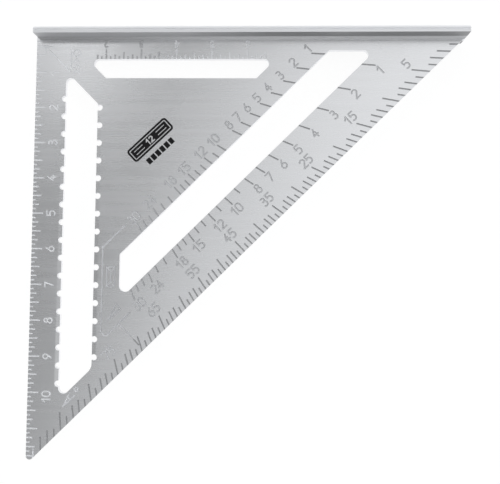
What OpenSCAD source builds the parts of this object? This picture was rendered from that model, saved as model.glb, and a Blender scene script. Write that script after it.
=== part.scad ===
// Twelve-inch rafter square: a flat triangular blade with engraved scales, seated in a T-shaped fence.
// The origin is the pivot corner, on the blade's mid-plane: +X runs along the fence, -Y runs down the
// ruler edge and +Z points out of the scale face. The fence's guide faces lie in the plane Y = 0.

/* [Blade] */
// Length of each leg, from the pivot
leg = 304.8; // [303:0.2:307]
// Thickness of the blade plate
blade_t = 3.2; // [2.6:0.1:4.2]
// Radius of the rounded tip below the ruler edge
tip_r = 2.6; // [2:0.2:4]

/* [Fence] */
// Width of the fence across both lips
fence_w = 22; // [18:0.5:28]
// Thickness of the fence behind its guide faces
fence_t = 4.7; // [4.2:0.1:6]
// Depth of the groove that the blade is seated in
seat_d = 2.5; // [1.6:0.1:2.8]
// Height of the shoulders that grip the blade
shoulder_h = 1.8; // [1:0.1:2.2]
// Thickness of each shoulder at its thin end
shoulder_t = 0.4; // [0.3:0.1:0.8]
// Distance that the fence is set along from the ruler edge
fence_shift = 0.7; // [0:0.1:1]
// Radius of the long outer edges
fence_edge_r = 1.2; // [0.6:0.1:1.6]
// Radius of the corners at both ends, seen from the front
fence_end_r = 2; // [1:0.2:2.4]
// Depth of the fine line along the middle of each lip
lip_line_d = 0.5; // [0.2:0.05:0.6]
// Distance of the stake mark from the pivot
stake_x = 223.5; // [40:0.5:280]
// Radius of the stake mark
stake_r = 0.8; // [0.5:0.1:1]

/* [Slots] */
// Left edge of the notched slot, from the ruler edge
notched_left = 21.9; // [21.4:0.1:22.4]
// Right edge of the notched slot, from the ruler edge
notched_right = 45.4; // [44:0.1:46]
// Sharp upper corner of the notched slot, below the fence
notched_top = 24.4; // [24:0.1:26]
// Metal between the notched slot and the long edge
notched_web = 16.3; // [16:0.1:17.5]
// Upper edge of the top slot, below the fence
top_slot_y = 15.6; // [15.2:0.1:16]
// Height of the top slot
top_slot_h = 13.9; // [12:0.1:14.4]
// Sharp left corner of the top slot, from the ruler edge
top_slot_left = 37; // [36.8:0.1:39]
// Sharp right corner of the top slot, from the ruler edge
top_slot_right = 172.7; // [170:0.1:174]
// Upper edge of the diagonal slot, below the fence
diag_top = 9.3; // [9:0.1:11]
// Left edge of the diagonal slot, from the ruler edge
diag_left = 63.7; // [63:0.1:66]
// Metal between the diagonal slot and the long edge
diag_web = 37.3; // [36.8:0.1:37.8]
// Width of the diagonal slot
diag_w = 23.2; // [22:0.1:23.6]

/* [Scribing notches] */
// Radius of each notch
notch_r = 2.2; // [1.8:0.1:2.6]
// Width of the bevel along each notched edge
bevel_w = 2.8; // [2:0.1:3.2]
// Depth of the bevel at the slot
bevel_d = 0.15; // [0.1:0.05:1]

/* [Scales] */
// Depth of the engraving
engrave_d = 0.28; // [0.2:0.02:0.4]
// Width of a graduation at the face
tick_w = 1.05; // [0.8:0.05:1.2]
// Width of the numerals' strokes at the face
stroke_w = 1.05; // [0.7:0.05:1.1]
// Height of the numerals beside the ruler edge
ruler_digit_h = 6.8; // [6:0.1:7.4]
// Height of the numerals above the top slot
top_digit_h = 5.4; // [5:0.1:5.6]
// Height of the numerals on the slanted scales
slant_digit_h = 7.2; // [6.6:0.1:7.4]

/* [Printed size mark] */
// Length of the frame round the black bar
mark_l = 37; // [32:0.5:38]
// Height of the frame
mark_h = 10.8; // [9.6:0.2:11.6]
// Corner radius of the frame
mark_r = 2.4; // [2:0.1:3]
// Width of the bare slits in the bar
slit_w = 0.6; // [0.5:0.1:1]
// Thickness of the ink
ink_t = 0.1; // [0.06:0.02:0.2]

/* [Hidden] */

$fn = 48;
inch = 25.4;
eps = 1;
arc_steps = 10;
face_z = blade_t / 2;
// The engraving's strokes stand a little above the face, and this share of their width is flat floor
above = 0.12;
floor_share = 0.4;

// Lengths of the inch, half, quarter and eighth graduations, and of those above the top slot
ruler_ticks = [7.8, 6.2, 4.3, 2.5];
top_ticks = [7.2, 5, 3.2, 2.1];
// Lengths of the degree graduations, square to the long edge: every fifth, beside a fifth, and the rest
degree_ticks = [9.8, 7, 4.3];
// Lengths of the long and short rafter graduations, square to the slot
hip_ticks = [7.2, 5.5];
common_ticks = [7.6, 5.4];

// Twelfths and seventeenths of rise that carry a graduation, and those that carry a numeral
hip_rises = concat([1, 2, 3, 4, 5, 6, 7, 8], [for (n = [10:18]) n], [for (n = [20:2:30]) n]);
common_rises = concat([for (n = [1:18]) n], [20, 22, 24, 26, 28, 30]);
labelled_rises = [1, 2, 3, 4, 5, 6, 7, 8, 10, 12, 15, 18, 24, 30];
common_run = 12;
hip_run = 17;

// Distances below the fence, in inches, of the notches on each edge and of both ends of their bevels
left_notches = [1.75:0.5:9.75];
right_notches = [2:0.5:9];
left_bevel = [1.95, 9.84] * inch;
right_bevel = [2.25, 9.12] * inch;
// How far the centres of the notches stand to the right of each edge
left_inset = -0.5;
right_inset = 1.4;

// Corner radii of the slots, clockwise from the upper left corner
notched_radii = [3.5, 1, 8, 3.8];
top_radii = [3.6, 3.6, 1.5, 1.5];
diag_radii = [1.5, 3.7, 4.4, 2];

// Sum of X and depth along each edge that is parallel to the long edge
notched_sum = leg - notched_web * sqrt(2);
diag_low_sum = leg - diag_web * sqrt(2);
diag_high_sum = diag_low_sum - diag_w * sqrt(2);

function unit(v) = v / norm(v);
function wrap(a) = a - 360 * floor((a + 180) / 360);
function polar(r, a) = r * [cos(a), sin(a)];
function direction(v) = atan2(v[1], v[0]);

// Points of a round of radius r at corner b, between neighbours a and c
function corner_arc(a, b, c, r) =
    let (
        u = unit(a - b),
        v = unit(c - b),
        half = acos(u * v) / 2,
        centre = b + unit(u + v) * r / sin(half),
        first = direction(b + u * r / tan(half) - centre),
        last = direction(b + v * r / tan(half) - centre),
        sweep = wrap(last - first)
    )
    [for (i = [0:arc_steps]) centre + polar(r, first + sweep * i / arc_steps)];

// Outline through corners, each rounded to its own radius; a radius of 0 keeps the corner sharp
function rounded(corners, radii) =
    let (n = len(corners))
    [for (i = [0:n - 1])
        for (p = radii[i] > 0
            ? corner_arc(corners[(i + n - 1) % n], corners[i], corners[(i + 1) % n], radii[i])
            : [corners[i]]) p];

// Distance from the pivot, along a ray at angle a below the fence, to a line parallel to the long edge
function ray_length(sum, a) = sum / (cos(a) + sin(a));

// ---------- strokes of the engraving, with sloping sides, standing on the groove floor ----------

module stroke_section(width) {
    low = floor_share * width / 2;
    high = low + (width / 2 - low) * (engrave_d + above) / engrave_d;
    polygon([[-low, 0], [low, 0], [high, engrave_d + above], [-high, engrave_d + above]]);
}

module groove(length, width) {
    rotate([90, 0, 90]) linear_extrude(length) stroke_section(width);
}

module line(p, q, w = stroke_w) {
    translate(p) rotate(direction(q - p)) translate([-w / 2, 0, 0]) groove(norm(q - p) + w, w);
}

module bow(centre, r, from, to, w = stroke_w) {
    translate(centre) rotate(from) rotate_extrude(angle = to - from)
        translate([r, 0]) stroke_section(w);
}

// One numeral, drawn along the middle of its stroke in a box b wide and h high, centred on the origin
module digit(d, h) {
    s = h - stroke_w;
    b = 0.58 * s;
    r = b / 2;
    low_r = 0.28 * s;
    high_r = 0.22 * s;
    translate([-r, -s / 2]) {
        if (d == 0) {
            bow([r, s - r], r, 0, 180);
            bow([r, r], r, 180, 360);
            for (x = [0, b]) line([x, r], [x, s - r]);
        }
        if (d == 1) {
            line([r, 0], [r, s]);
            line([r, s], [0, 0.72 * s]);
        }
        if (d == 2) {
            bow([r, s - r], r, -30, 170);
            line([0, 0], [0.95 * b, 0.6 * s]);
            line([0, 0], [b, 0]);
        }
        if (d == 3) {
            bow([r, s - high_r], high_r, -90, 150);
            bow([r, low_r], low_r, -150, 90);
            line([0.7 * r, 2 * low_r], [r, 2 * low_r]);
        }
        if (d == 4) {
            line([0.7 * b, s], [0, 0.3 * s]);
            line([0, 0.3 * s], [b, 0.3 * s]);
            line([0.7 * b, 0], [0.7 * b, 0.62 * s]);
        }
        if (d == 5) {
            line([0.1 * b, s], [b, s]);
            line([0.1 * b, s], [0.1 * b, 0.56 * s]);
            bow([0.46 * b, 0.32 * s], 0.32 * s, -140, 128);
        }
        if (d == 6) six(s, b);
        if (d == 7) {
            line([0, s], [b, s]);
            line([b, s], [0.35 * b, 0]);
        }
        if (d == 8) {
            bow([r, s - high_r], high_r, 0, 360);
            bow([r, low_r], low_r, 0, 360);
        }
        if (d == 9) translate([b, s]) rotate(180) six(s, b);
    }
}

module six(s, b) {
    r = 0.29 * s;
    bow([b / 2, r], r, 0, 360);
    line([b / 2 - 0.8 * r, 1.6 * r], [0.72 * b, s]);
}

// Width that a digit takes up in a number, as a fraction of its height
function advance(d) = d == 1 ? 0.44 : 0.68;

// A whole number of one or two digits, centred on the origin
module number(n, h) {
    tens = floor(n / 10);
    if (tens > 0) {
        translate([-h * advance(n % 10) / 2, 0]) digit(tens, h);
        translate([h * advance(tens) / 2, 0]) digit(n % 10, h);
    } else {
        digit(n, h);
    }
}

// ---------- scales ----------

function eighth_rank(n) = n % 8 == 0 ? 0 : n % 4 == 0 ? 1 : n % 2 == 0 ? 2 : 3;
function degree_rank(a) = a % 5 == 0 ? 0 : abs(a % 5 - 2.5) < 1 ? 1 : 2;

module ruler_scale() {
    last_eighth = floor((leg - tip_r) * 8 / inch);
    numeral_x = 13.4;
    tens_shift = 0.36;
    for (n = [1:last_eighth])
        translate([-eps, -n * inch / 8, 0]) groove(ruler_ticks[eighth_rank(n)] + eps, tick_w);
    // The last digit of each number stands on its own graduation
    for (n = [1:10]) {
        shift = n > 9 ? tens_shift * ruler_digit_h : 0;
        translate([numeral_x, -n * inch - shift, 0]) rotate(90) number(n, ruler_digit_h);
    }
}

module top_scale() {
    first_eighth = 14;
    last_eighth = 52;
    numeral_y = -4.9;
    for (n = [first_eighth:last_eighth])
        translate([n * inch / 8, -top_slot_y - eps, 0]) rotate(90)
            groove(top_ticks[eighth_rank(n)] + eps, tick_w);
    for (n = [2:6]) translate([n * inch, numeral_y, 0]) rotate(180) number(n, top_digit_h);
}

module degree_scale() {
    numeral_in = 15.4;
    for (a = [1:89]) {
        reach = degree_ticks[degree_rank(a)] / cos(45 - a);
        edge = ray_length(leg, a);
        rotate(-a) translate([edge - reach, 0, 0]) groove(reach + eps, tick_w);
    }
    for (a = [5:10:75]) slanted_label(a, leg, -degree_ticks[0], -numeral_in, 0, a);
}

// A numeral beside the end of the graduation at angle a. The end and the numeral are placed square to
// the edge, positive away from the pivot, and the numeral stands ahead of the end by a distance along it.
module slanted_label(a, sum, tick_end, numeral_at, ahead, n) {
    end = polar(ray_length(sum + tick_end * sqrt(2), a), -a);
    translate(end + polar(numeral_at - tick_end, -45) + polar(ahead, 45)) rotate(45)
        number(n, slant_digit_h);
}

// Rafter graduations beside one edge of the diagonal slot; side is -1 towards the pivot and 1 away from it
module rafter_scale(rises, run, sum, side, lengths, numeral_at, ahead) {
    for (n = rises) {
        a = atan(n / run);
        labelled = len(search(n, labelled_rises)) > 0;
        reach = lengths[labelled ? 0 : 1] / cos(45 - a);
        start = ray_length(sum, a) - (side < 0 ? reach : eps);
        rotate(-a) translate([start, 0, 0]) groove(reach + eps, tick_w);
    }
    for (n = labelled_rises)
        slanted_label(atan(n / run), sum, side * lengths[0], side * numeral_at, ahead, n);
}

module hip_scale() {
    rafter_scale(hip_rises, hip_run, diag_high_sum, -1, hip_ticks, numeral_at = 11.6, ahead = 1);
}

module common_scale() {
    rafter_scale(common_rises, common_run, diag_low_sum, 1, common_ticks, numeral_at = 12.1, ahead = 0.3);
}

// Line round the lower end of the diagonal slot that parts the rafter scales
module scale_border() {
    border_x = 51.5;
    border_top = 67.5;
    border_low = 210.4;
    border_in = 12.1;
    border_sum = diag_high_sum - border_in * sqrt(2);
    chamfer = [2.1, -2.5];
    foot = [border_x + 2 * chamfer[0], chamfer[1] - border_low];
    cross = [64, -204.5];
    arm = [7.8, 7.8];
    leg_down = [14.5, -14.5];
    line([border_top, border_top - border_sum], [border_x, border_x - border_sum]);
    line([border_x, border_x - border_sum], [border_x, -border_low]);
    line([border_x, -border_low], [border_x, -border_low] + chamfer);
    line([border_x, -border_low] + chamfer, foot);
    line(foot, cross + arm);
    line(cross, cross + leg_down);
}

// Arrow from the corner of the blade to the pivot
module pivot_arrow() {
    tail = [24.5, -24.5];
    tip = [6.2, -6.2];
    barb = 4.4;
    spread = 0.6;
    line(tail, tip);
    line(tip, tip + [barb, -spread]);
    line(tip, tip + [spread, -barb]);
}

// Turning point beside the arrow: a rule, a ring round a dot, and chevrons that point up at it
module pivot_symbol() {
    centre = [29.4, -11.5];
    ring_r = 2.5;
    rule_x = 25.4;
    rule_top = 8;
    rule_low = 23;
    chevron = 2.2;
    line([rule_x, -rule_top], [rule_x, -rule_low], 0.7 * stroke_w);
    translate(centre) cylinder(r = stroke_w / 2, h = engrave_d + above);
    bow(centre, ring_r, 0, 360);
    for (drop = [4.4:4:12.4])
        for (s = [-1, 1]) line(centre - [0, drop], centre - [chevron * s, drop + chevron]);
}

// An angle with its arc and a degree ring, on the band below the notched slot
module degree_symbol() {
    place = [25.9, -263.5];
    run = 11;
    slope_run = 9.6;
    rise = 3.6;
    arc_r = 7;
    ring = [15, 2.3];
    ring_r = 1.3;
    translate(place) rotate(45) {
        line([0, 0], [run, 0]);
        line([0, 0], [slope_run, rise]);
        bow([0, 0], arc_r, 0, atan(rise / slope_run));
        bow(ring, ring_r, 0, 360);
    }
}

// Side view of a common rafter on its run and rise
module common_symbol() {
    place = [56.4, -202.4];
    run = 12;
    rise = 4.2;
    translate(place) rotate(45) {
        line([0, 0], [run, 0]);
        line([run, 0], [run, rise]);
        line([run, rise], [0, 0]);
    }
}

// Plan view of a hip roof, with its hips and ridge
module hip_symbol() {
    place = [57.6, -171.5];
    half_l = 7;
    half_w = 2.8;
    ridge = 3.4;
    translate(place) rotate(90) {
        for (s = [-1, 1]) {
            line([-half_l, s * half_w], [half_l, s * half_w]);
            line([s * half_l, -half_w], [s * half_l, half_w]);
            line([s * half_l, half_w], [s * ridge, 0]);
            line([s * half_l, -half_w], [s * ridge, 0]);
        }
        line([-ridge, 0], [ridge, 0]);
    }
}

// ---------- blade ----------

module blade_outline() {
    polygon(rounded(
        [[0, seat_d], [leg, seat_d], [leg, 0], [0, -leg]],
        [0, 0, 0, tip_r]
    ));
}

module notched_slot() {
    top_drop = notched_right - notched_left;
    polygon(rounded(
        [
            [notched_left, -notched_top],
            [notched_right, -notched_top - top_drop],
            [notched_right, notched_right - notched_sum],
            [notched_left, notched_left - notched_sum],
        ],
        notched_radii
    ));
    for (n = left_notches) translate([notched_left + left_inset, -n * inch]) circle(r = notch_r);
    for (n = right_notches) translate([notched_right + right_inset, -n * inch]) circle(r = notch_r);
}

module top_slot() {
    low = top_slot_y + top_slot_h;
    polygon(rounded(
        [
            [top_slot_left, -top_slot_y],
            [top_slot_right, -top_slot_y],
            [top_slot_right - top_slot_h, -low],
            [top_slot_left + top_slot_h, -low],
        ],
        top_radii
    ));
}

module diagonal_slot() {
    polygon(rounded(
        [
            [diag_high_sum - diag_top, -diag_top],
            [diag_low_sum - diag_top, -diag_top],
            [diag_left, diag_left - diag_low_sum],
            [diag_left, diag_left - diag_high_sum],
        ],
        diag_radii
    ));
}

// Slope along a notched edge; side is -1 for the edge nearer the ruler and 1 for the other
module notch_bevel(edge_x, side, ends) {
    drop = bevel_d / bevel_w;
    translate([edge_x, -ends[0], face_z]) rotate([90, 0, 0]) linear_extrude(ends[1] - ends[0])
        polygon([
            [side * bevel_w, 0],
            [-side * eps, -bevel_d - drop * eps],
            [-side * eps, eps],
            [side * bevel_w, eps],
        ]);
}

module blade() {
    color("silver") difference() {
        translate([0, 0, -face_z]) linear_extrude(blade_t) difference() {
            blade_outline();
            notched_slot();
            top_slot();
            diagonal_slot();
        }
        notch_bevel(notched_left, -1, left_bevel);
        notch_bevel(notched_right, 1, right_bevel);
        translate([0, 0, face_z - engrave_d]) {
            ruler_scale();
            top_scale();
            degree_scale();
            hip_scale();
            common_scale();
            scale_border();
            pivot_arrow();
            pivot_symbol();
            degree_symbol();
            common_symbol();
            hip_symbol();
        }
    }
}

// ---------- fence ----------

// Half of the fence's section, from the blade outwards: X is the depth behind the guide face and Y is
// the distance from the blade's mid-plane
function half_section() =
    let (
        flank = face_z + shoulder_t,
        root = corner_arc([-shoulder_h, flank], [0, flank], [0, flank + 2 * shoulder_h], shoulder_h),
        edge = corner_arc([0, fence_w / 2], [fence_t, fence_w / 2], [fence_t, 0], fence_edge_r),
        middle = fence_t / 2
    )
    concat(
        [[seat_d, 0], [seat_d, face_z], [-shoulder_h, face_z], [-shoulder_h, flank]],
        [for (p = root) p],
        [
            [0, fence_w / 2],
            [middle - lip_line_d, fence_w / 2],
            [middle, fence_w / 2 - lip_line_d],
            [middle + lip_line_d, fence_w / 2],
        ],
        edge,
        [[fence_t, 0]]
    );

module fence_section() {
    half = half_section();
    n = len(half);
    polygon(concat(half, [for (i = [n - 2:-1:1]) [half[i][0], -half[i][1]]]));
}

// Outline from the front: the shoulders are cut back at both ends, square to the long edge on the right
module fence_plan() {
    polygon(rounded(
        [
            [0, 0],
            [0, fence_t],
            [leg, fence_t],
            [leg, 0],
            [leg - shoulder_h, -shoulder_h],
            [shoulder_h, -shoulder_h],
        ],
        [0, fence_end_r, fence_end_r, 0, 0, 0]
    ));
}

module fence() {
    color("gainsboro") difference() {
        translate([fence_shift, 0, 0]) intersection() {
            rotate([90, 0, 90]) linear_extrude(leg) fence_section();
            translate([0, 0, -fence_w]) linear_extrude(2 * fence_w) fence_plan();
        }
        translate([stake_x, -shoulder_h, face_z + shoulder_t / 2]) cylinder(r = stake_r, h = fence_w);
    }
}

// ---------- printed size mark ----------

module plate_outline(inset) {
    x = mark_l / 2 - inset;
    y = mark_h / 2 - inset;
    r = mark_r - inset;
    polygon(rounded([[-x, -y], [x, -y], [x, y], [-x, y]], [r, r, r, r]));
}

// Framed black bar with its number and slits left bare, and a row of blocks below it
module size_mark() {
    place = [83.8, -73.9, face_z];
    slant = 43.6;
    frame_line = 1.4;
    bar_inset = 2.1;
    digit_h = 5;
    slit_l = 8;
    slit_x = 10.4;
    slit_y = 1.3;
    block = [3.3, 4.4, ink_t];
    block_pitch = 4.2;
    block_drop = 3.2;
    last_block = 2.5;
    color("black") translate(place) rotate(slant) {
        linear_extrude(ink_t) difference() {
            plate_outline(0);
            plate_outline(frame_line);
        }
        difference() {
            linear_extrude(ink_t) plate_outline(bar_inset);
            translate([0, 0, ink_t / 2 - engrave_d]) {
                number(12, digit_h);
                for (x = [-slit_x, slit_x])
                    for (y = [-slit_y, slit_y])
                        translate([x - slit_l / 2, y, 0]) groove(slit_l, slit_w);
            }
        }
        for (i = [-last_block:last_block])
            translate([i * block_pitch - block[0] / 2, -mark_h / 2 - block_drop - block[1], 0]) cube(block);
    }
}

blade();
fence();
size_mark();
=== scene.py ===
"""Looks for the speed square: its camera, studio light, floor, surface finish and materials.

Everything is in metres in the row frame: the pivot corner is the origin, +X runs along the fence, -Y runs
down the ruler edge and +Z points out of the scale face.
"""
import math
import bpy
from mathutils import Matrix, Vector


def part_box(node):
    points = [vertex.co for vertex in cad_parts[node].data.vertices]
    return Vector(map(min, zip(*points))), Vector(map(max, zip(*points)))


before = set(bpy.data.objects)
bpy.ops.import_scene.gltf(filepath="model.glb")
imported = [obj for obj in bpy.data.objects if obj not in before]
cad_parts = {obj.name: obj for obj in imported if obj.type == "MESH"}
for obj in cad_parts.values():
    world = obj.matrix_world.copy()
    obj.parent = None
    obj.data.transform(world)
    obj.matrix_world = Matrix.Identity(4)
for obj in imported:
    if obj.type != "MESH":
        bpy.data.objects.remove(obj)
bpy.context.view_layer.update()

from types import SimpleNamespace

import bpy
from mathutils import Matrix, Vector

MM = 0.001
BLADE_LOW, BLADE_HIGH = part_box("blade")
FENCE_LOW, FENCE_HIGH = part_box("fence")

# Height of the scale face, and length of the legs
FACE_Z = BLADE_HIGH.z
LEG = BLADE_HIGH.x - BLADE_LOW.x

# Soft glows and dips in the light overhead: where each one is, how far it spreads and how strong it is.
# Places are offsets along X and Y for each unit of height.
GLOWS = (
    (-0.37, 0.46, 0.1, 0.11, 2.3),
    (-0.29, 0.17, 0.09, 0.15, -0.2),
    (-0.27, 0.25, 0.1, 0.09, -0.08),
    (-0.17, 0.1, 0.1, 0.13, 0.06),
    (0.02, 0.36, 0.14, 0.12, 0.15),
)

CAMERA_TARGET = Vector((156.0, -145.7, 1.6)) * MM
CAMERA_PLACE = Vector((173.4, -159.5, 401.4)) * MM


# ---------- node helpers ----------

class Nodes:
    """Short calls that add and link shader nodes."""

    def __init__(self, tree):
        self.tree = tree

    def add(self, kind, **values):
        node = self.tree.nodes.new(kind)
        for name, value in values.items():
            setattr(node, name, value)
        return node

    def link(self, source, target):
        self.tree.links.new(source, target)

    def feed(self, socket, value):
        if isinstance(value, bpy.types.NodeSocket):
            self.link(value, socket)
        else:
            socket.default_value = value

    def math(self, operation, *values):
        node = self.add("ShaderNodeMath", operation=operation)
        for socket, value in zip(node.inputs, values):
            self.feed(socket, value)
        return node.outputs[0]

    def xyz(self, vector):
        node = self.add("ShaderNodeSeparateXYZ")
        self.link(vector, node.inputs[0])
        return node.outputs[0], node.outputs[1], node.outputs[2]

    def smooth(self, value, low, high, to_low=0.0, to_high=1.0):
        """Goes smoothly from to_low to to_high as value goes from low to high."""
        node = self.add("ShaderNodeMapRange", interpolation_type="SMOOTHSTEP")
        for socket, number in zip(node.inputs, (value, low, high, to_low, to_high)):
            self.feed(socket, number)
        return node.outputs[0]

    def mix(self, factor, a, b):
        """Mixes two numbers."""
        node = self.add("ShaderNodeMix", data_type="FLOAT")
        for socket, value in zip(node.inputs[0:1] + node.inputs[2:4], (factor, a, b)):
            self.feed(socket, value)
        return node.outputs[0]

    def mix_colour(self, factor, a, b):
        node = self.add("ShaderNodeMix", data_type="RGBA")
        for socket, value in zip((node.inputs[0], node.inputs[6], node.inputs[7]), (factor, a, b)):
            self.feed(socket, value)
        return node.outputs[2]

    def stretch(self, vector, scale):
        node = self.add("ShaderNodeVectorMath", operation="MULTIPLY")
        self.link(vector, node.inputs[0])
        node.inputs[1].default_value = scale
        return node.outputs[0]

    def noise(self, vector, scale, detail=2.0, roughness=0.5):
        node = self.add("ShaderNodeTexNoise")
        self.link(vector, node.inputs["Vector"])
        node.inputs["Scale"].default_value = scale
        node.inputs["Detail"].default_value = detail
        node.inputs["Roughness"].default_value = roughness
        return node.outputs[0]

    def bump(self, height, strength, distance):
        node = self.add("ShaderNodeBump")
        node.inputs["Strength"].default_value = strength
        node.inputs["Distance"].default_value = distance
        self.link(height, node.inputs["Height"])
        return node.outputs[0]


def new_material(name):
    material = bpy.data.materials.new(name)
    material.use_nodes = True
    material.node_tree.nodes.clear()
    n = Nodes(material.node_tree)
    shader = n.add("ShaderNodeBsdfPrincipled")
    output = n.add("ShaderNodeOutputMaterial")
    n.link(shader.outputs[0], output.inputs[0])
    return material, n, shader


def grey(value):
    return (value, value, value, 1.0)


# ---------- materials ----------

def aluminium(roughness_range, tone_range, anisotropy):
    """Aluminium brushed along X, so that what it reflects is smeared most across the brushing.

    Returns the material's parts, with the sockets that carry its tone and roughness so far.
    """
    along_brushing = (1.0, 0.0, 0.3)
    scratch_stretch = (18.0, 2600.0, 18.0)
    band_stretch = (7.0, 260.0, 7.0)
    cloud_scale = 22.0
    cloud_roughness = 0.12
    bump_strength = 0.25
    scratch_depth = 0.02 * MM

    material, n, shader = new_material("aluminium")
    shader.inputs["Metallic"].default_value = 1.0
    shader.inputs["Anisotropic"].default_value = anisotropy
    place = n.add("ShaderNodeTexCoord").outputs["Object"]
    normal = n.add("ShaderNodeNewGeometry").outputs["True Normal"]
    across = n.add("ShaderNodeVectorMath", operation="CROSS_PRODUCT")
    n.link(normal, across.inputs[0])
    across.inputs[1].default_value = along_brushing
    n.link(across.outputs[0], shader.inputs["Tangent"])

    # Long fine scratches, broader faint bands and clouds from handling
    fine = n.noise(n.stretch(place, scratch_stretch), 1.0, detail=3.0, roughness=0.6)
    bands = n.noise(n.stretch(place, band_stretch), 1.0, detail=2.0)
    cloud = n.noise(place, cloud_scale, detail=3.0)
    grain = n.math("ADD", n.math("MULTIPLY", fine, 0.5), n.math("MULTIPLY", bands, 0.5))
    tone = n.smooth(grain, 0.3, 0.7, *tone_range)
    roughness = n.mix(grain, *roughness_range)
    clouded = n.math("MULTIPLY", n.math("SUBTRACT", cloud, 0.5), cloud_roughness)
    roughness = n.math("ADD", roughness, clouded)
    n.link(n.bump(grain, bump_strength, scratch_depth), shader.inputs["Normal"])
    return SimpleNamespace(material=material, n=n, shader=shader, place=place, normal=normal, cloud=cloud,
                           tone=tone, roughness=roughness)


def finish_aluminium(metal, name, tone, roughness):
    """Links the finished tone, slightly blue, and the finished roughness to the shader."""
    blue_tint = (0.99, 0.995, 1.015)
    metal.material.name = name
    tint = metal.n.add("ShaderNodeCombineColor")
    for socket, share in zip(tint.inputs, blue_tint):
        metal.n.link(metal.n.math("MULTIPLY", tone, share), socket)
    metal.n.link(tint.outputs[0], metal.shader.inputs["Base Color"])
    metal.n.link(roughness, metal.shader.inputs["Roughness"])
    return metal.material


def blade_aluminium():
    """The cast blade: satin faces, smoother sawn walls, and engraving whose floors and sloping sides are
    painted bright near the ruler and dark further right, as painted light and shade.
    """
    wall_tone = 0.93
    wall_roughness = 0.42
    deeper_than = 0.2 * MM
    level_above = 0.998
    sloping_below = 0.95
    # Marks outside the painted shade are painted bright; marks inside it are painted dark, the graduations
    # most
    unshaded_floor, numeral_floor, graduation_floor = 1.0, 0.92, 0.62
    unshaded_side, numeral_side, graduation_side = 0.95, 0.55, 0.5
    unshaded_mark_roughness, shaded_mark_roughness = 0.95, 0.7

    metal = aluminium((0.2, 0.34), (0.84, 0.88), 0.7)
    n = metal.n
    x, y, z = n.xyz(metal.place)
    up = n.math("ABSOLUTE", n.xyz(metal.normal)[2])

    # Slot walls and outer edges
    wall = n.smooth(up, 0.5, 0.3)
    tone = n.mix(wall, metal.tone, wall_tone)
    roughness = n.mix(wall, metal.roughness, wall_roughness)

    # Engraving on the scale face: flat floors, and sides that slope up to the face
    front = n.math("MULTIPLY", n.math("GREATER_THAN", z, 0.0), n.math("SUBTRACT", 1.0, wall))
    level = n.math("GREATER_THAN", up, level_above)
    deep = n.math("LESS_THAN", z, FACE_Z - deeper_than)
    floor = n.math("MULTIPLY", front, n.math("MULTIPLY", level, deep))
    side = n.math("MULTIPLY", front, n.math("LESS_THAN", up, sloping_below))

    # The mask below is painted light and shade on the engraving: marks painted bright near the ruler,
    # painted dark further right
    mark_shade, graduated = engraving_shade(n, x, y)
    # Random patches in how strongly the painted shade darkens the sloping sides
    shade_patches = n.smooth(metal.cloud, 0.2, 0.55, 0.75, 1.0)
    floor_tone = n.mix(mark_shade, unshaded_floor, n.mix(graduated, numeral_floor, graduation_floor))
    side_shade = n.mix(n.math("MULTIPLY", graduated, shade_patches), numeral_side, graduation_side)
    side_tone = n.mix(mark_shade, unshaded_side, side_shade)
    tone = n.mix(floor, tone, floor_tone)
    tone = n.mix(side, tone, side_tone)
    marked = n.math("MAXIMUM", floor, side)
    roughness = n.mix(marked, roughness, n.mix(mark_shade, unshaded_mark_roughness, shaded_mark_roughness))
    return finish_aluminium(metal, "blade_aluminium", tone, roughness)


def engraving_shade(n, x, y):
    """Where painted shade darkens the engraving, and where the marks on the slanted scales are
    graduations.
    """
    lean = 0.15
    ruler_ends, shade_full = 40 * MM, 150 * MM
    top_scale_low, top_scale_high = -17 * MM, -16 * MM
    top_scale_end, top_scale_fade = 178 * MM, 180 * MM
    top_shade_start = (38 * MM, 42 * MM)
    top_shade_end = (100 * MM, 80 * MM)
    degree_band = (11 * MM, 10 * MM)
    rafter_band_low = (28.5 * MM, 29.5 * MM)
    rafter_band_high = (68.5 * MM, 67.5 * MM)
    ruler_marks = (8 * MM, 9 * MM)

    # The ruler's marks are left bright, and painted shade builds up to the right of them
    along = n.math("SUBTRACT", x, n.math("MULTIPLY", y, lean))
    mark_shade = n.smooth(along, ruler_ends, shade_full)
    # Along the top scale the painted shade starts near the slot's left end and fades out between the 3 and
    # the 4
    beside_fence = n.smooth(y, top_scale_low, top_scale_high)
    top_scale = n.math("MULTIPLY", beside_fence, n.smooth(x, top_scale_fade, top_scale_end))
    top_scale_shade = n.math("MULTIPLY", n.smooth(x, *top_shade_start), n.smooth(x, *top_shade_end))
    mark_shade = n.mix(top_scale, mark_shade, top_scale_shade)

    # Towards the long edge the graduations get more painted shade than the numerals between them
    from_edge = n.math("MULTIPLY", n.math("SUBTRACT", LEG, n.math("SUBTRACT", x, y)), math.sqrt(0.5))
    degree_marks = n.smooth(from_edge, *degree_band)
    rafter_marks = n.math("MULTIPLY", n.smooth(from_edge, *rafter_band_low),
                          n.smooth(from_edge, *rafter_band_high))
    graduated = n.math("MAXIMUM", degree_marks, rafter_marks)
    # The degree graduations get painted shade along the whole of the long edge, down to the ruler's own
    # marks
    degrees = n.math("MULTIPLY", degree_marks, n.smooth(x, *ruler_marks))
    return n.math("MAXIMUM", mark_shade, degrees), graduated


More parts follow.
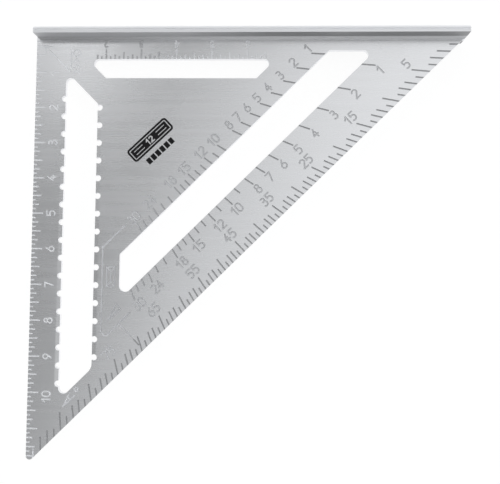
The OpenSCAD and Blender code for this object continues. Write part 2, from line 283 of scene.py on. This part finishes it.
def fence_aluminium():
    """The extruded fence: a paler, rougher finish, with painted shade on its guide faces, on the lip
    halves nearer the blade and on the shoulder.
    """
    back_share = 0.72
    inner_shade_share = 0.92
    skin = 0.05 * MM

    metal = aluminium((0.62, 0.7), (0.97, 1.0), 0.4)
    n = metal.n
    tone = metal.tone
    x, y, z = n.xyz(metal.place)
    facing = n.xyz(metal.normal)[1]

    # The guide faces are darkened with painted shade, more so to the right as a painted reflection
    guide = n.smooth(facing, -0.8, -0.95)
    guide_shade = n.smooth(x, 0.3 * LEG, 0.6 * LEG, 0.62, 0.4)
    tone = n.mix(guide, tone, n.math("MULTIPLY", tone, guide_shade))
    # The flat back is duller than the lips
    back = n.smooth(facing, 0.8, 0.95)
    tone = n.mix(back, tone, n.math("MULTIPLY", tone, back_share))
    # The half of each lip nearer the blade is painted a little darker than the other half, as painted
    # shade
    middle = FENCE_HIGH.y / 2
    inner = n.math("MULTIPLY", n.math("GREATER_THAN", y, skin), n.math("LESS_THAN", y, middle))
    tone = n.mix(inner, tone, n.math("MULTIPLY", tone, inner_shade_share))
    # The shoulder between the front guide face and the blade is painted dark as painted shade in the
    # crease, most at the pivot
    shoulder = n.math("MULTIPLY", n.math("GREATER_THAN", z, 0.0), n.math("LESS_THAN", y, -skin))
    tone = n.mix(shoulder, tone, n.smooth(x, 0.0, LEG / 2, 0.5, 0.75))
    return finish_aluminium(metal, "fence_aluminium", tone, metal.roughness)


def black_ink():
    """Screen-printed ink: black with faint pinholes and a slightly uneven gloss."""
    black = (0.006, 0.006, 0.007, 1.0)
    pinhole = grey(0.04)
    pinhole_scale = 1800.0
    cloud_scale = 150.0
    material, n, shader = new_material("black_ink")
    place = n.add("ShaderNodeTexCoord").outputs["Object"]
    speckle = n.noise(place, pinhole_scale, detail=2.0)
    cloud = n.noise(place, cloud_scale, detail=3.0)
    shader.inputs["Specular IOR Level"].default_value = 0.2
    colour = n.mix_colour(n.smooth(speckle, 0.68, 0.78), black, pinhole)
    n.link(colour, shader.inputs["Base Color"])
    n.link(n.smooth(cloud, 0.3, 0.7, 0.42, 0.6), shader.inputs["Roughness"])
    n.link(n.bump(speckle, 0.2, 0.01 * MM), shader.inputs["Normal"])
    return material


def floor_white():
    """Matt white, lit mostly by its own glow, so that it stays plain and pale under the square."""
    material, n, shader = new_material("floor_white")
    shader.inputs["Base Color"].default_value = grey(0.2)
    shader.inputs["Roughness"].default_value = 0.9
    shader.inputs["Specular IOR Level"].default_value = 0.0
    shader.inputs["Emission Color"].default_value = grey(1.0)
    shader.inputs["Emission Strength"].default_value = 0.86
    return material


def set_material(obj, material):
    obj.data.materials.clear()
    obj.data.materials.append(material)


# ---------- studio ----------

def add_floor():
    """A pale floor, tipped so that the square rests on it with the lip of its fence and its lower tip."""
    half = 3.0
    gap = 0.1 * MM
    rise = (BLADE_LOW.z - FENCE_LOW.z) / BLADE_LOW.y

    def height(y):
        return FENCE_LOW.z - gap + rise * y

    corners = [(x, y, height(y)) for x, y in ((-half, -half), (half, -half), (half, half), (-half, half))]
    mesh = bpy.data.meshes.new("floor")
    mesh.from_pydata(corners, [], [(0, 1, 2, 3)])
    floor = bpy.data.objects.new("floor", mesh)
    bpy.context.scene.collection.objects.link(floor)
    set_material(floor, floor_white())


def add_world():
    """A soft white studio. Overhead it is greyer, and goes from dim on the left to bright on the right."""
    screen, wall, far_wall, horizon = 0.3, 1.0, 0.95, 1.1
    daylight = (0.985, 0.995, 1.0, 1.0)
    world = bpy.data.worlds.new("studio")
    bpy.context.scene.world = world
    world.use_nodes = True
    world.node_tree.nodes.clear()
    n = Nodes(world.node_tree)
    background = n.add("ShaderNodeBackground")
    output = n.add("ShaderNodeOutputWorld")
    n.link(background.outputs[0], output.inputs[0])
    # Offsets along X and Y for each unit of height, and their reach from straight overhead
    x, y, z = n.xyz(n.add("ShaderNodeTexCoord").outputs["Generated"])
    rise = n.math("MAXIMUM", z, 0.05)
    u = n.math("DIVIDE", x, rise)
    v = n.math("DIVIDE", y, rise)
    reach = n.math("SQRT", n.math("ADD", n.math("MULTIPLY", u, u), n.math("MULTIPLY", v, v)))

    # Level lines of the brightness lean with the long edge
    lean = n.math("SUBTRACT", u, n.math("MULTIPLY", v, 0.37))
    overhead = n.smooth(lean, -0.4, -0.08, 0.3, 0.71)
    overhead = n.math("ADD", overhead, n.smooth(lean, -0.02, 0.06, 0.0, 0.18))

    def glow(at_u, at_v, wide, high, strength):
        du = n.math("DIVIDE", n.math("SUBTRACT", u, at_u), wide)
        dv = n.math("DIVIDE", n.math("SUBTRACT", v, at_v), high)
        square = n.math("ADD", n.math("MULTIPLY", du, du), n.math("MULTIPLY", dv, dv))
        return n.math("MULTIPLY", n.math("EXPONENT", n.math("MULTIPLY", square, -1.0)), strength)

    for place_and_strength in GLOWS:
        overhead = n.math("ADD", overhead, glow(*place_and_strength))
    # Walls of the studio: pale, but for a grey screen on the -Y side
    facing = n.math("DIVIDE", v, n.math("MAXIMUM", reach, 0.01))
    walls = n.smooth(facing, -0.9, -0.3, screen, wall)
    walls = n.mix(n.smooth(facing, 0.5, 0.9), walls, far_wall)
    strength = n.mix(n.smooth(reach, 0.65, 1.3), overhead, walls)
    strength = n.mix(n.smooth(reach, 4.0, 8.0), strength, horizon)
    n.link(strength, background.inputs["Strength"])
    background.inputs["Color"].default_value = daylight


def add_camera():
    """The photograph looks almost straight down at the scale face."""
    roll = 0.77
    field_of_view = 47.34
    data = bpy.data.cameras.new("camera")
    data.sensor_fit = "HORIZONTAL"
    data.angle = math.radians(field_of_view)
    data.clip_start = 0.01
    data.clip_end = 20.0
    camera = bpy.data.objects.new("camera", data)
    bpy.context.scene.collection.objects.link(camera)
    back = (CAMERA_PLACE - CAMERA_TARGET).normalized()
    right = (Vector((1.0, 0.0, 0.0)) - back * back.x).normalized()
    level = Matrix((right, back.cross(right), back)).transposed()
    spin = Matrix.Rotation(math.radians(roll), 3, "Z")
    camera.matrix_world = (level @ spin).to_4x4()
    camera.location = CAMERA_PLACE
    bpy.context.scene.camera = camera


bpy.context.scene.view_settings.view_transform = "Standard"
set_material(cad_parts["blade"], blade_aluminium())
set_material(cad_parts["fence"], fence_aluminium())
set_material(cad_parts["size_mark"], black_ink())
add_floor()
add_world()
add_camera()
